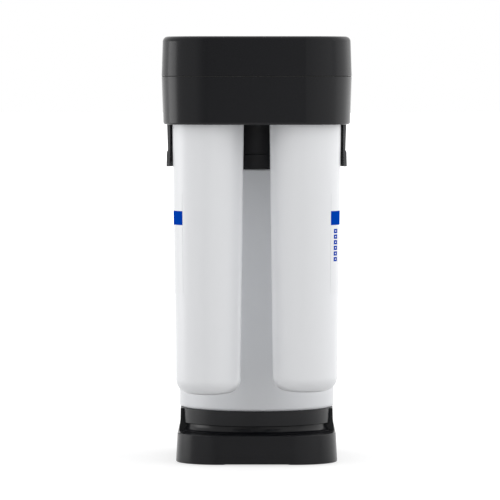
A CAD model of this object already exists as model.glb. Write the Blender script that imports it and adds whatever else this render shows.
import math

import bmesh
import bpy
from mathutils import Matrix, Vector


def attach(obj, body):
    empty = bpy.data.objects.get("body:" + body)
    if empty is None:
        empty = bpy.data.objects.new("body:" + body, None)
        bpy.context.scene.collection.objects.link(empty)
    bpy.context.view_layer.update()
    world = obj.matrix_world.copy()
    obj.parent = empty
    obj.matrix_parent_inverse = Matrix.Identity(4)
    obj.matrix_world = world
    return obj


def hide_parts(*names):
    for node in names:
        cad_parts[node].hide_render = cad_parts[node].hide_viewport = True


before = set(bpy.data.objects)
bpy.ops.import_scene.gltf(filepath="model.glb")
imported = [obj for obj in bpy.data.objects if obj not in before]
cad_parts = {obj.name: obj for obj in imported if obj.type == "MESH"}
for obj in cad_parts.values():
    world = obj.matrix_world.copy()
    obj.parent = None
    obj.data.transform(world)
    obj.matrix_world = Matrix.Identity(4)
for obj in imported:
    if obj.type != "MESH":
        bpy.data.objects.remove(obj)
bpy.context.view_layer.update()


# Stand: one black satin moulding, a wide plinth with a round ring for the tank and coves between them.
# The tank drops into the ring and is held by four screws from the ribbed underside.

mm = 0.001


class Wire:
    """One output in a material's nodes; sums, products and comparisons of wires add Math nodes."""

    def __init__(self, tree, socket=None):
        self.tree = tree
        self.socket = socket

    def add(self, kind, settings=(), inputs=(), out=0):
        node = self.tree.nodes.new(kind)
        for key, value in dict(settings).items():
            setattr(node, key, value)
        for key, value in dict(inputs).items():
            if isinstance(value, Wire):
                self.tree.links.new(value.socket, node.inputs[key])
            else:
                node.inputs[key].default_value = value
        return Wire(self.tree, node.outputs[out])

    def maths(self, operation, other):
        return self.add("ShaderNodeMath", {"operation": operation}, {0: self, 1: other})

    def __add__(self, other):
        return self.maths("ADD", other)

    __radd__ = __add__

    def __mul__(self, other):
        return self.maths("MULTIPLY", other)

    __rmul__ = __mul__

    def __gt__(self, other):
        return self.maths("GREATER_THAN", other)

    def noise(self, place, scale, detail=2.0):
        return self.add("ShaderNodeTexNoise", (), {"Vector": place, "Scale": scale, "Detail": detail})

    def between(self, share, low, high):
        colours = {6: (*low, 1.0), 7: (*high, 1.0)}
        return self.add("ShaderNodeMix", {"data_type": "RGBA"}, {0: share, **colours}, 2)


def new_finish(name):
    material = bpy.data.materials.new(name)
    material.use_nodes = True
    tree = material.node_tree
    tree.nodes.clear()
    kit = Wire(tree)
    place = kit.add("ShaderNodeTexCoord", out="Object")
    return material, kit, place


def close_finish(kit, **inputs):
    named = {key.replace("_", " "): value for key, value in inputs.items()}
    shader = kit.add("ShaderNodeBsdfPrincipled", (), named)
    output = kit.tree.nodes.new("ShaderNodeOutputMaterial")
    kit.tree.links.new(shader.socket, output.inputs["Surface"])


def moulded_plastic(name, colour, roughness, grain=1.5e-6, peel=2.0e-6, mottle=0.06, gloss=0.5):
    """Moulded plastic: fine spark grain, slow waves of the tool's polish and a faint mottle of colour."""
    material, kit, place = new_finish(name)
    cloud = kit.noise(place, 38.0, 3.0)
    low = tuple(c * (1.0 - mottle) for c in colour)
    high = tuple(min(1.0, c * (1.0 + mottle)) for c in colour)
    rub = kit.noise(place, 120.0, 4.0)
    spark = kit.noise(place, 2400.0, 2.0)
    wave = kit.noise(place, 210.0, 1.0)
    height = spark * grain + wave * peel
    bump = kit.add("ShaderNodeBump", (), {"Strength": 1.0, "Distance": 1.0, "Height": height})
    close_finish(
        kit,
        Base_Color=kit.between(cloud, low, high),
        Roughness=rub * 0.06 + (spark * 0.03 + (roughness - 0.045)),
        Specular_IOR_Level=gloss,
        Normal=bump,
    )
    return material


def dress(node, finish):
    """Gives its finish to a CAD node whose shape is right as it is."""
    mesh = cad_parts[node].data
    mesh.materials.clear()
    mesh.materials.append(finish)


satin_black = (0.0034, 0.0036, 0.0052)
stand_black = moulded_plastic("stand black plastic", satin_black, 0.235, gloss=0.24)
dress("base_stand", stand_black)


# Feet: four turned pads of matt black rubber with grip rings in their soles, pressed on posts in the plinth.
# They stand a hair proud of the plinth's rim.

rubber, kit, place = new_finish("matt black rubber")
bloom = kit.noise(place, 160.0, 5.0)
pores = kit.noise(place, 1800.0, 2.0)
close_finish(
    kit,
    Base_Color=kit.between(bloom, (0.016, 0.016, 0.016), (0.03, 0.029, 0.028)),
    Roughness=bloom * 0.2 + 0.6,
    Normal=kit.add("ShaderNodeBump", (), {"Distance": 1.0, "Height": pores * 1.2e-5}),
)


def turned(name, profile, finish, segments=64):
    """A solid turned about Z from the half profile (r, z) in mm, which starts and ends on the axis."""
    bm = bmesh.new()
    rings = []
    for r, z in profile:
        if r == 0.0:
            rings.append([bm.verts.new((0.0, 0.0, z * mm))])
            continue
        turns = [2.0 * math.pi * k / segments for k in range(segments)]
        rings.append([bm.verts.new((r * mm * math.cos(t), r * mm * math.sin(t), z * mm)) for t in turns])
    for low, high in zip(rings, rings[1:]):
        for k in range(segments):
            n = k + 1
            ring = [low[k % len(low)], low[n % len(low)], high[n % len(high)], high[k % len(high)]]
            bm.faces.new(list(dict.fromkeys(ring)))
    bmesh.ops.recalc_face_normals(bm, faces=bm.faces)
    mesh = bpy.data.meshes.new(name)
    bm.to_mesh(mesh)
    bm.free()
    mesh.shade_smooth()
    mesh.set_sharp_from_angle(angle=math.radians(40.0))
    mesh.materials.append(finish)
    return mesh


copies = bpy.data.node_groups.new("copies at points", "GeometryNodeTree")
for name, kind in (
    ("Places", "NodeSocketGeometry"), ("Piece", "NodeSocketObject"), ("Finish", "NodeSocketMaterial"),
    ("Greatest turn", "NodeSocketFloat"), ("Seed", "NodeSocketInt"),
):
    copies.interface.new_socket(name, in_out="INPUT", socket_type=kind)
copies.interface.new_socket("Copies", in_out="OUTPUT", socket_type="NodeSocketGeometry")
asked = copies.nodes.new("NodeGroupInput")
given = copies.nodes.new("NodeGroupOutput")
chosen = copies.nodes.new("GeometryNodeObjectInfo")
turn = copies.nodes.new("FunctionNodeRandomValue")
about_z = copies.nodes.new("ShaderNodeCombineXYZ")
spread = copies.nodes.new("GeometryNodeInstanceOnPoints")
solid = copies.nodes.new("GeometryNodeRealizeInstances")
painted = copies.nodes.new("GeometryNodeSetMaterial")
turn_out = [s for s in turn.outputs if s.type == "VALUE"][0]
turn_most = [s for s in turn.inputs if s.name == "Max" and s.type == "VALUE"][0]
for source, target in (
    (asked.outputs["Piece"], chosen.inputs["Object"]),
    (asked.outputs["Greatest turn"], turn_most),
    (asked.outputs["Seed"], turn.inputs["Seed"]),
    (turn_out, about_z.inputs["Z"]),
    (asked.outputs["Places"], spread.inputs["Points"]),
    (chosen.outputs["Geometry"], spread.inputs["Instance"]),
    (about_z.outputs["Vector"], spread.inputs["Rotation"]),
    (spread.outputs["Instances"], solid.inputs["Geometry"]),
    (solid.outputs["Geometry"], painted.inputs["Geometry"]),
    (asked.outputs["Finish"], painted.inputs["Material"]),
    (painted.outputs["Geometry"], given.inputs["Copies"]),
):
    copies.links.new(source, target)


def bake_modifiers(piece):
    """Turns a piece with modifiers into the plain mesh that they give."""
    graph = bpy.context.evaluated_depsgraph_get()
    ready = piece.evaluated_get(graph)
    mesh = bpy.data.meshes.new_from_object(ready, preserve_all_data_layers=True, depsgraph=graph)
    piece.modifiers.clear()
    old = piece.data
    piece.data = mesh
    mesh.name = piece.name
    bpy.data.meshes.remove(old)


def copies_at(name, master, places, finish, body, node=None, greatest_turn=0.0, seed=7):
    """One piece of copies of a master mesh at places in mm; it rides a body and may stand for a node."""
    model = bpy.data.objects.new(name + "_master", master)
    bpy.context.scene.collection.objects.link(model)
    points = bpy.data.meshes.new(name)
    points.from_pydata([tuple(c * mm for c in p) for p in places], [], [])
    piece = bpy.data.objects.new(name, points)
    spreader = piece.modifiers.new("copies", "NODES")
    spreader.node_group = copies
    wanted = {"Piece": model, "Finish": finish, "Greatest turn": greatest_turn, "Seed": seed}
    for item in copies.interface.items_tree:
        if item.name in wanted:
            spreader[item.identifier] = wanted[item.name]
    bpy.context.scene.collection.objects.link(piece)
    bake_modifiers(piece)
    bpy.data.objects.remove(model)
    if node:
        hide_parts(node)
    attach(piece, body)


foot_profile = [
    (0.0, 0.5), (2.0, 0.5), (2.4, 0.1), (4.6, 0.1), (5.0, 0.5), (6.2, 0.5), (6.6, 0.1), (8.8, 0.1),
    (9.2, 0.5), (10.2, 0.5), (10.6, 0.1), (11.2, 0.0), (11.7, 0.15), (12.0, 0.6), (12.0, 3.3), (0.0, 3.3),
]
foot_x, foot_y = 42.0, 80.0
copies_at("rubber_feet", turned("foot", foot_profile, rubber),
          [(x, y, 0.0) for x in (-foot_x, foot_x) for y in (-foot_y, foot_y)],
          rubber, "unit", "base_feet")


# Stand screws: four plain steel pan heads, each with a rolled thread and a cross recess cut in its crown.
# They hold the tank to the stand from below.

steel, kit, place = new_finish("plain steel")
brushed = kit.noise(
    kit.add("ShaderNodeMapping", (), {"Vector": place, "Scale": (1.0, 1.0, 30.0)}), 300.0, 4.0
)
close_finish(
    kit,
    Base_Color=kit.between(brushed, (0.5, 0.5, 0.51), (0.66, 0.66, 0.66)),
    Metallic=1.0,
    Roughness=brushed * 0.16 + 0.22,
    Normal=kit.add("ShaderNodeBump", (), {"Distance": 1.0, "Height": brushed * 4.0e-6}),
)


def pan_screw(name, head_r, head_h, shank_r, shank_l, up=1):
    """A pan-head screw with a cross recess, its seat at z 0 and its head above it, or below for up=-1."""
    rounding = ((0.0, 1.0), (0.45, 0.97), (0.78, 0.8), (0.95, 0.5))
    crown = [(head_r * out, head_h * up_share) for out, up_share in rounding]
    seat_edge, thread_pitch, thread_depth, plain_end = 0.12, 0.6, 0.22, 1.2
    stem = [(head_r, seat_edge), (head_r - seat_edge, 0.0), (shank_r, 0.0)]
    z = -thread_pitch / 2
    while z > -shank_l + plain_end:
        stem += [(shank_r, z), (shank_r - thread_depth, z - thread_pitch / 2)]
        z -= thread_pitch
    stem += [(shank_r * 0.6, -shank_l + 0.2), (0.0, -shank_l)]
    screw = bpy.data.objects.new(name, turned(name, crown + stem, steel, 32))
    slot = bmesh.new()
    for turn in (0.0, 90.0):
        bar = bmesh.ops.create_cube(slot, size=1.0)["verts"]
        long, narrow = 1.15 * head_r, 0.26 * head_r
        wide, deep = (long, narrow) if turn else (narrow, long)
        bmesh.ops.scale(slot, vec=(wide * mm, deep * mm, head_h * mm), verts=bar)
        bmesh.ops.translate(slot, vec=(0.0, 0.0, head_h * 0.95 * mm), verts=bar)
    cutter_mesh = bpy.data.meshes.new("recess")
    slot.to_mesh(cutter_mesh)
    slot.free()
    cutter = bpy.data.objects.new("recess", cutter_mesh)
    for thing in (screw, cutter):
        bpy.context.scene.collection.objects.link(thing)
    cut = screw.modifiers.new("recess", "BOOLEAN")
    cut.object = cutter
    cut.solver = "EXACT"
    cut.use_self = True
    bake_modifiers(screw)
    mesh = screw.data
    bpy.data.objects.remove(screw)
    bpy.data.objects.remove(cutter)
    if up < 0:
        for v in mesh.vertices:
            v.co.y, v.co.z = -v.co.y, -v.co.z
    mesh.set_sharp_from_angle(angle=math.radians(35.0))
    return mesh


quarter_turn = 1.57
stand_screw_circle, stand_screw_seat = 48.0, 46.0
at_45 = stand_screw_circle / math.sqrt(2.0)
copies_at("stand_screws", pan_screw("stand_screw", head_r=3.5, head_h=3.0, shank_r=1.5, shank_l=8.0, up=-1),
          [(x, y, stand_screw_seat) for x in (-at_45, at_45) for y in (-at_45, at_45)],
          steel, "unit", "base_screws", greatest_turn=quarter_turn)


# Tank: a white round shell with a rounded foot, open at the top for its cover.
# Semi-gloss lacquer over a drawn shell gives it a slight orange peel.

tank_white = moulded_plastic("tank white lacquer", (0.72, 0.732, 0.752), 0.32,
                             grain=0.5e-6, peel=2.5e-6, mottle=0.01)
dress("tank_shell", tank_white)


# Inside of the tank: a butyl bladder, a clamped cover with its stem, and the seals between them.
# The stem carries two O-rings that plug into the collector above.

collar_black = moulded_plastic("collar black plastic", satin_black, 0.32, gloss=0.26)
fitting_white = moulded_plastic("white acetal", (0.74, 0.74, 0.73), 0.36, mottle=0.02)
for node in ("tank_bladder", "tank_seal", "stem_orings"):
    dress(node, rubber)
dress("tank_cover", collar_black)
dress("tank_stem", fitting_white)


# Clamp ring and neck collar: two black satin rings, one above the other, between the tank and the head.
# The ring grips the tank's rim on its seal, and the collar carries the head's weight down to it.

dress("tank_clamp_ring", collar_black)
dress("neck_shroud", collar_black)


# Lower shell of the head: a drafted black moulding with four round openings for the cartridges.
# It stands on the neck collar and carries the collector, the levers and the rear panel.

head_black = moulded_plastic("head black plastic", satin_black, 0.235, gloss=0.26)
dress("head_housing", head_black)


# Port panel: a black niche for fingers and tube ends, snapped into a window of the rear wall.
# Its sharp edges are eased on a copy of the CAD piece, as for the other small mouldings.

def eased_copy(node, finish, body, edge, crease=30.0):
    """Stands for a CAD node: its loose triangles are welded and its sharp edges get a small round."""
    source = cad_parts[node].data
    mesh = bpy.data.meshes.new(node + "_eased")
    mesh.from_pydata([v.co for v in source.vertices], [], [tuple(p.vertices) for p in source.polygons])
    bm = bmesh.new()
    bm.from_mesh(mesh)
    bmesh.ops.remove_doubles(bm, verts=bm.verts, dist=2e-6)
    bmesh.ops.dissolve_degenerate(bm, dist=1e-7, edges=bm.edges)
    bmesh.ops.dissolve_limit(bm, angle_limit=math.radians(0.05), verts=bm.verts, edges=bm.edges)
    bm.to_mesh(mesh)
    bm.free()
    mesh.shade_smooth()
    mesh.set_sharp_from_angle(angle=math.radians(crease))
    mesh.materials.append(finish)
    piece = bpy.data.objects.new(node + "_eased", mesh)
    bpy.context.scene.collection.objects.link(piece)
    ease = piece.modifiers.new("eased edges", "BEVEL")
    ease.limit_method = "ANGLE"
    ease.angle_limit = math.radians(crease)
    ease.width = edge * mm
    ease.segments = 2
    ease.use_clamp_overlap = False
    flats = piece.modifiers.new("flat faces", "WEIGHTED_NORMAL")
    flats.keep_sharp = True
    flats.weight = 60
    bake_modifiers(piece)
    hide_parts(node)
    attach(piece, body)


eased_copy("port_panel", head_black, "unit", edge=0.4)


# Collector: grey glass-filled plate with a welded channel cover, four bayonet sockets and the valves.
# Screws hold it to the bosses of the lower shell, and the valve's cap to its body.

collector_grey, kit, place = new_finish("grey glass-filled plastic")
fleck = kit.noise(place, 900.0, 3.0)
cloud = kit.noise(place, 45.0, 3.0)
tone = kit.between(cloud, (0.25, 0.26, 0.27), (0.32, 0.33, 0.34))
flecks = kit.add(
    "ShaderNodeMix", {"data_type": "RGBA"}, {0: (fleck > 0.66) * 0.5, 6: tone, 7: (0.5, 0.5, 0.5, 1.0)}, 2
)
close_finish(
    kit,
    Base_Color=flecks,
    Roughness=fleck * 0.15 + 0.42,
    Normal=kit.add("ShaderNodeBump", (), {"Distance": 1.0, "Height": fleck * 1.0e-5}),
)
for node in ("collector_plate", "channel_cover", "valve_body", "valve_cap"):
    eased_copy(node, collector_grey, "unit", edge=0.3)
for i in (1, 2, 3, 4):
    eased_copy(f"socket_{i}", collector_grey, "unit", edge=0.3)
for node in ("check_valve", "flow_restrictor"):
    eased_copy(node, fitting_white, "unit", edge=0.3)
dress("valve_diaphragm", rubber)
end_boss_y, side_boss_x, side_boss_y, plate_top = 112.0, 50.0, 38.0, 380.0
bosses = ((0.0, -end_boss_y), (0.0, end_boss_y), (side_boss_x, -side_boss_y), (side_boss_x, side_boss_y))
copies_at("collector_bolts", pan_screw("collector_bolt", head_r=3.2, head_h=2.4, shank_r=1.4, shank_l=18.0),
          [(x, y, plate_top) for x, y in bosses],
          steel, "unit", "collector_screws", greatest_turn=quarter_turn, seed=3)
valve_y, valve_screw_circle, valve_cap_top = -76.0, 15.6, 397.5
ring_45 = valve_screw_circle / math.sqrt(2.0)
copies_at("valve_bolts", pan_screw("valve_bolt", head_r=2.4, head_h=1.8, shank_r=1.1, shank_l=2.8),
          [(x, valve_y + y, valve_cap_top) for x in (-ring_45, ring_45) for y in (-ring_45, ring_45)],
          steel, "unit", "valve_screws", greatest_turn=quarter_turn, seed=5)


# Tube ports: three white acetal elbows that push up into the collector, with flange plates in the niche.
# Each has a grey release collet, which slides in its mouth, and an O-ring behind it.

collet_grey = moulded_plastic("grey acetal", (0.30, 0.32, 0.34), 0.38, mottle=0.03)
for name in ("feed", "drain", "clean"):
    eased_copy(name + "_port", fitting_white, "unit", edge=0.3)
    eased_copy(name + "_collet", collet_grey, name + "_release", edge=0.2)
dress("port_orings", rubber)


# Cartridges: tapered white cans with domed bottoms, closed by a cap with a bayonet neck and two O-rings.
# Three hold a pressed carbon block and the one at the near right a rolled membrane in tape.

cartridge_white = moulded_plastic("cartridge white plastic", (0.87, 0.879, 0.897), 0.32,
                                  grain=0.5e-6, peel=1.5e-6, mottle=0.01)
cap_white = moulded_plastic("cap white plastic", (0.80, 0.805, 0.81), 0.34, grain=1.0e-6, mottle=0.02)
carbon, kit, place = new_finish("pressed carbon")
grit = kit.add("ShaderNodeTexVoronoi", (), {"Vector": place, "Scale": 1100.0})
dust = kit.noise(place, 260.0, 6.0)
close_finish(
    kit,
    Base_Color=kit.between(dust, (0.012, 0.012, 0.012), (0.05, 0.048, 0.045)),
    Roughness=dust * 0.2 + 0.72,
    Normal=kit.add("ShaderNodeBump", (), {"Distance": 1.0, "Height": grit * 1.5e-4 + dust * 1.0e-4}),
)
membrane, kit, place = new_finish("rolled membrane in tape")
wraps = kit.add(
    "ShaderNodeTexWave", {"bands_direction": "Z", "wave_profile": "SAW"},
    {"Vector": place, "Scale": 12.0, "Distortion": 0.6},
)
fibre = kit.noise(place, 500.0, 4.0)
close_finish(
    kit,
    Base_Color=kit.between(fibre * 0.5 + wraps * 0.5, (0.62, 0.64, 0.66), (0.78, 0.79, 0.8)),
    Roughness=fibre * 0.2 + 0.4,
    Normal=kit.add("ShaderNodeBump", (), {"Distance": 1.0, "Height": wraps * 6.0e-5 + fibre * 3.0e-5}),
)
axis_x, axis_y = 47.0, 140.5
membrane_number = 3
# Each place is the cartridge's number, then the signs of its axis in x and in y
places = ((1, -1, -1), (2, -1, 1), (3, 1, -1), (4, 1, 1))
for i, _, _ in places:
    body = f"cartridge_{i}"
    dress(body + "_body", cartridge_white)
    eased_copy(body + "_cap", cap_white, body, edge=0.3)
    dress(body + "_orings", rubber)
    dress(body + "_media", membrane if i == membrane_number else carbon)


# Cartridge labels: a thin white film on the outward side of each can, with a plain blue band across it
# and a column of small tick boxes beside its left edge. It follows the can's taper.

label_film = moulded_plastic("label film", (0.865, 0.874, 0.89), 0.33,
                             grain=0.3e-6, peel=1.0e-6, mottle=0.01)
label_blue = moulded_plastic("label blue ink", (0.0005, 0.052, 0.45), 0.5,
                             grain=0.3e-6, peel=1.0e-6, mottle=0.04, gloss=0.0)
film_proud = 0.12 * mm
half_turn = 42.6
film_low, film_high, film_step = 172.0, 268.0, 3.55
band = (238.1, 251.7)
box_count, box_low, box_pitch, box_height, box_line = 6, 203.0, 5.43, 4.2, 1.5
box_turns = (-34.4, -22.4)
box_core = (-30.0, -26.8)
can_top_r, can_top_z = 34.6, 335.0
taper = math.tan(math.radians(0.75))


def can_radius(z):
    return (can_top_r - (can_top_z - z) * taper) * mm


def label_mesh(name, side, end):
    """A curved sheet round the can, cut along the edges of its print, with the ink as a second finish."""
    turns = {-half_turn, half_turn, *box_turns, *box_core}
    step = -half_turn
    while step < half_turn:
        turns.add(round(step, 2))
        step += film_step
    levels = {film_low, film_high, *band}
    for k in range(box_count):
        z = box_low + k * box_pitch
        levels |= {z, z + box_height, z + box_line, z + box_height - box_line}
    turns, levels = sorted(turns), sorted(levels)
    mesh = bpy.data.meshes.new(name)
    verts, faces, inks = [], [], []

    def point(turn, z, lift):
        a = math.radians(turn)
        r = can_radius(z) + lift
        return (side * (axis_x * mm + r * math.cos(a)), end * axis_y * mm + side * r * math.sin(a), z * mm)

    count = len(levels)
    for turn in turns:
        for z in levels:
            verts.append(point(turn, z, film_proud))
    for a in range(len(turns) - 1):
        for b in range(count - 1):
            corner = a * count + b
            faces.append((corner, corner + count, corner + count + 1, corner + 1))
            turn = (turns[a] + turns[a + 1]) / 2
            z = (levels[b] + levels[b + 1]) / 2
            by_boxes = box_low < z < box_low + box_count * box_pitch
            step = (z - box_low) % box_pitch if by_boxes else box_pitch
            in_box = box_turns[0] < turn < box_turns[1] and step < box_height
            in_core = box_core[0] < turn < box_core[1] and box_line < step < box_height - box_line
            inks.append(1 if band[0] < z < band[1] or (in_box and not in_core) else 0)
    mesh.from_pydata(verts, [], faces)
    mesh.materials.append(label_film)
    mesh.materials.append(label_blue)
    mesh.polygons.foreach_set("material_index", inks)
    mesh.shade_smooth()
    return mesh


for i, side, end in places:
    label = bpy.data.objects.new(f"label_{i}", label_mesh(f"label_{i}", side, end))
    bpy.context.scene.collection.objects.link(label)
    thick = label.modifiers.new("film", "SOLIDIFY")
    thick.thickness = film_proud
    thick.offset = -1.0
    bake_modifiers(label)
    label.data.set_sharp_from_angle(angle=math.radians(40.0))
    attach(label, f"cartridge_{i}")


# Latch levers: dark arms that hang beside the cartridges on trunnions, with a thicker pad to press.
# Each is a curved plate round the can, turned towards the unit's middle; fine ribs on its pad give a grip.

lever_black = moulded_plastic("lever black plastic", (0.068, 0.069, 0.072), 0.235)
rib_rows = bpy.data.node_groups.new("row of grip ribs", "GeometryNodeTree")
for name, kind in (("Rib", "NodeSocketGeometry"), ("Count", "NodeSocketInt"), ("Pitch", "NodeSocketFloat"),
                   ("Finish", "NodeSocketMaterial")):
    rib_rows.interface.new_socket(name, in_out="INPUT", socket_type=kind)
rib_rows.interface.new_socket("Ribs", in_out="OUTPUT", socket_type="NodeSocketGeometry")
asked = rib_rows.nodes.new("NodeGroupInput")
given = rib_rows.nodes.new("NodeGroupOutput")
climb = rib_rows.nodes.new("ShaderNodeCombineXYZ")
row = rib_rows.nodes.new("GeometryNodeMeshLine")
spread = rib_rows.nodes.new("GeometryNodeInstanceOnPoints")
solid = rib_rows.nodes.new("GeometryNodeRealizeInstances")
painted = rib_rows.nodes.new("GeometryNodeSetMaterial")
for source, target in (
    (asked.outputs["Pitch"], climb.inputs["Z"]),
    (asked.outputs["Count"], row.inputs["Count"]),
    (climb.outputs["Vector"], row.inputs["Offset"]),
    (row.outputs["Mesh"], spread.inputs["Points"]),
    (asked.outputs["Rib"], spread.inputs["Instance"]),
    (spread.outputs["Instances"], solid.inputs["Geometry"]),
    (solid.outputs["Geometry"], painted.inputs["Geometry"]),
    (asked.outputs["Finish"], painted.inputs["Material"]),
    (painted.outputs["Geometry"], given.inputs["Ribs"]),
):
    rib_rows.links.new(source, target)


def grip_rib(name, side, end, low_z):
    """A half-round bar along the pad's outer face, which curves about the cartridge's axis."""
    pad_r, half_angle, half_h, proud, sunk, lever_turn = 40.3, 13.5, 0.45, 0.22, 0.15, 17.0
    section = [(-sunk, -half_h), (proud * 0.7, -half_h * 0.7), (proud, 0.0),
               (proud * 0.7, half_h * 0.7), (-sunk, half_h)]
    bm = bmesh.new()
    rings = []
    steps = 16
    for k in range(steps + 1):
        share = 2.0 * k / steps - 1.0
        a = math.radians(half_angle * share - end * lever_turn)
        ring = []
        for out, up in section:
            thin = 0.35 if abs(share) == 1.0 and out > 0.0 else 1.0
            r = (pad_r + out * thin) * mm
            x = side * (axis_x * mm + r * math.cos(a))
            y = end * axis_y * mm + r * math.sin(a)
            ring.append(bm.verts.new((x, y, (low_z + up * thin) * mm)))
        rings.append(ring)
    count = len(section)
    for low, high in zip(rings, rings[1:]):
        for k in range(count):
            bm.faces.new((low[k], low[(k + 1) % count], high[(k + 1) % count], high[k]))
    bm.faces.new(rings[0])
    bm.faces.new(rings[-1])
    bmesh.ops.recalc_face_normals(bm, faces=bm.faces)
    mesh = bpy.data.meshes.new(name)
    bm.to_mesh(mesh)
    bm.free()
    mesh.shade_smooth()
    mesh.set_sharp_from_angle(angle=math.radians(50.0))
    return mesh


rib_low, rib_count, rib_pitch = 297.0, 5, 2.3
for i, side, end in places:
    eased_copy(f"latch_lever_{i}", lever_black, f"lever_{i}", edge=0.35)
    ribs = bpy.data.objects.new(f"lever_{i}_grip", grip_rib(f"lever_{i}_grip", side, end, rib_low))
    bpy.context.scene.collection.objects.link(ribs)
    rows = ribs.modifiers.new("ribs", "NODES")
    rows.node_group = rib_rows
    wanted = {"Count": rib_count, "Pitch": rib_pitch * mm, "Finish": lever_black}
    for item in rib_rows.interface.items_tree:
        if item.name in wanted:
            rows[item.identifier] = wanted[item.name]
    bake_modifiers(ribs)
    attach(ribs, f"lever_{i}")


# Lid of the head: a drafted black shell with a rounded top edge and a tongue that sits in the lower shell.
# A soft black seal lies on the lower shell's rim, a little inside, and shows as the dark parting line.

dress("head_lid", head_black)
seal_section = [(42.6, 381.0), (44.4, 381.0), (44.55, 381.25),
                (44.55, 381.65), (44.4, 381.82), (42.6, 381.82)]
corners = ((axis_x, axis_y), (-axis_x, axis_y), (-axis_x, -axis_y), (axis_x, -axis_y))
bm = bmesh.new()
rings = []
corner_steps = 24
for quarter, (x, y) in enumerate(corners):
    for k in range(corner_steps + 1):
        a = math.radians(90.0 * (quarter + k / corner_steps))
        rings.append([bm.verts.new(((x + r * math.cos(a)) * mm, (y + r * math.sin(a)) * mm, z * mm))
                      for r, z in seal_section])
for low, high in zip(rings, rings[1:] + rings[:1]):
    for k in range(len(seal_section)):
        n = (k + 1) % len(seal_section)
        bm.faces.new((low[k], high[k], high[n], low[n]))
bmesh.ops.recalc_face_normals(bm, faces=bm.faces)
seal_mesh = bpy.data.meshes.new("seam_seal")
bm.to_mesh(seal_mesh)
bm.free()
seal_mesh.shade_smooth()
seal_mesh.set_sharp_from_angle(angle=math.radians(50.0))
seal_mesh.materials.append(rubber)
seal = bpy.data.objects.new("seam_seal", seal_mesh)
bpy.context.scene.collection.objects.link(seal)
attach(seal, "unit")


# Studio: a white surround, a pale floor, two softboxes at the sides and a half dome of grey cloth in front.
# The cloth glows, least of all straight ahead, so that the black front stays black, and is out of view.
# The camera is far off, level with the parting line of the head.

floor_mesh = bpy.data.meshes.new("studio_floor")
floor_half = 40.0
floor_mesh.from_pydata(
    [(-floor_half, -floor_half, 0.0), (floor_half, -floor_half, 0.0), (floor_half, floor_half, 0.0),
     (-floor_half, floor_half, 0.0)], [], [(0, 1, 2, 3)]
)
floor_white, kit, place = new_finish("studio floor")
seen = sum((kit.add("ShaderNodeLightPath", out=ray) for ray in ("Is Glossy Ray", "Is Transmission Ray")),
           kit.add("ShaderNodeLightPath", out="Is Camera Ray"))
speck = kit.noise(place, 3.0, 2.0)
tone = kit.between(speck, (0.51, 0.51, 0.51), (0.53, 0.53, 0.53))
paper = {"Base Color": tone, "Roughness": 0.9}
away = kit.add("ShaderNodeVectorMath", {"operation": "LENGTH"}, {0: place}, "Value")
far_off = kit.add("ShaderNodeMapRange", (), {"Value": away, "From Min": 0.5, "From Max": 1.1})
glow = kit.between(far_off, (0.56, 0.56, 0.56), (1.0, 1.0, 1.0))
bright_paper = {**paper, "Emission Color": glow, "Emission Strength": 1.0}
both = kit.add("ShaderNodeMixShader", (), {
    0: seen,
    1: kit.add("ShaderNodeBsdfPrincipled", (), paper),
    2: kit.add("ShaderNodeBsdfPrincipled", (), bright_paper),
})
output = kit.tree.nodes.new("ShaderNodeOutputMaterial")
kit.tree.links.new(both.socket, output.inputs["Surface"])
floor_mesh.materials.append(floor_white)
floor = bpy.data.objects.new("studio_floor", floor_mesh)
bpy.context.scene.collection.objects.link(floor)

cloth_tones = ((-90, 1.05), (-75, 1.0), (-30, 0.98), (-8, 0.46), (0, 0.5), (4, 0.88), (30, 1.1), (66, 1.38))
cloth_r, cloth_turns, cloth_rises = 1.7, range(-78, 67, 2), range(0, 88, 3)
cloth_mesh = bpy.data.meshes.new("front_cloth")
verts, faces, shades = [], [], []
for turn in cloth_turns:
    a = math.radians(turn)
    for (t0, v0), (t1, v1) in zip(cloth_tones, cloth_tones[1:]):
        if t0 <= turn <= t1:
            shade = v0 + (v1 - v0) * (turn - t0) / (t1 - t0)
    for rise in cloth_rises:
        flat = cloth_r * math.cos(math.radians(rise))
        verts.append((flat * math.sin(a), -flat * math.cos(a), cloth_r * math.sin(math.radians(rise))))
        shades.append(shade)
rows = len(cloth_rises)
for k in range(len(cloth_turns) - 1):
    for j in range(rows - 1):
        corner = k * rows + j
        faces.append((corner, corner + rows, corner + rows + 1, corner + 1))
cloth_mesh.from_pydata(verts, [], faces)
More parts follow.
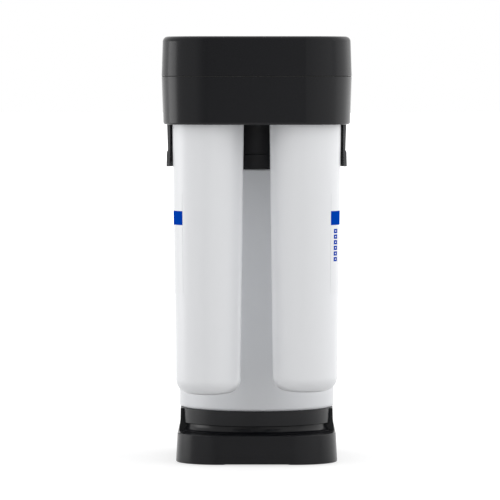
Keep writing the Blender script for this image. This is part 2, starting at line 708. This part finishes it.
cloth_mesh.attributes.new("shade", "FLOAT", "POINT").data.foreach_set("value", shades)
cloth_grey, kit, _ = new_finish("lit grey cloth")
level = kit.add("ShaderNodeAttribute", {"attribute_name": "shade"}, out="Fac")
glow = kit.add("ShaderNodeEmission", (), {"Color": level})
output = kit.tree.nodes.new("ShaderNodeOutputMaterial")
kit.tree.links.new(glow.socket, output.inputs["Surface"])
cloth_mesh.materials.append(cloth_grey)
cloth = bpy.data.objects.new("front_cloth", cloth_mesh)
cloth.visible_camera = False
bpy.context.scene.collection.objects.link(cloth)

world = bpy.data.worlds.new("white surround")
bpy.context.scene.world = world
world.use_nodes = True
surround = world.node_tree.nodes["Background"]
surround.inputs["Color"].default_value = (1.0, 1.0, 1.0, 1.0)
surround.inputs["Strength"].default_value = 1.0

lamp_away, lamp_aim = 1.5, Vector((0.0, 0.0, 0.3))
for name, azimuth, height, size, radiance in (
    ("left softbox", -96.0, 0.31, (0.8, 0.58), 2.25), ("right softbox", 108.0, 0.75, (1.8, 1.6), 0.45)
):
    a = math.radians(azimuth)
    spot = Vector((lamp_away * math.sin(a), -lamp_away * math.cos(a), height))
    lamp = bpy.data.lights.new(name, "AREA")
    lamp.shape = "RECTANGLE"
    lamp.size, lamp.size_y = size
    lamp.energy = radiance * math.pi * size[0] * size[1]
    holder = bpy.data.objects.new(name, lamp)
    holder.visible_camera = False
    holder.location = spot
    holder.rotation_euler = (lamp_aim - spot).to_track_quat("-Z", "Y").to_euler()
    bpy.context.scene.collection.objects.link(holder)

lens = bpy.data.cameras.new("camera")
lens.sensor_fit = "HORIZONTAL"
lens.sensor_width = 36.0
lens.lens = 306.0
lens.clip_end = 200.0
camera_away, camera_height, camera_dip, camera_swing = 4.258, 0.3815, 2.34, 0.09
camera = bpy.data.objects.new("camera", lens)
camera.location = (0.0, -camera_away, camera_height)
camera.rotation_euler = (math.radians(90.0 - camera_dip), 0.0, math.radians(camera_swing))
bpy.context.scene.collection.objects.link(camera)
bpy.context.scene.camera = camera
bpy.context.scene.view_settings.view_transform = "Standard"
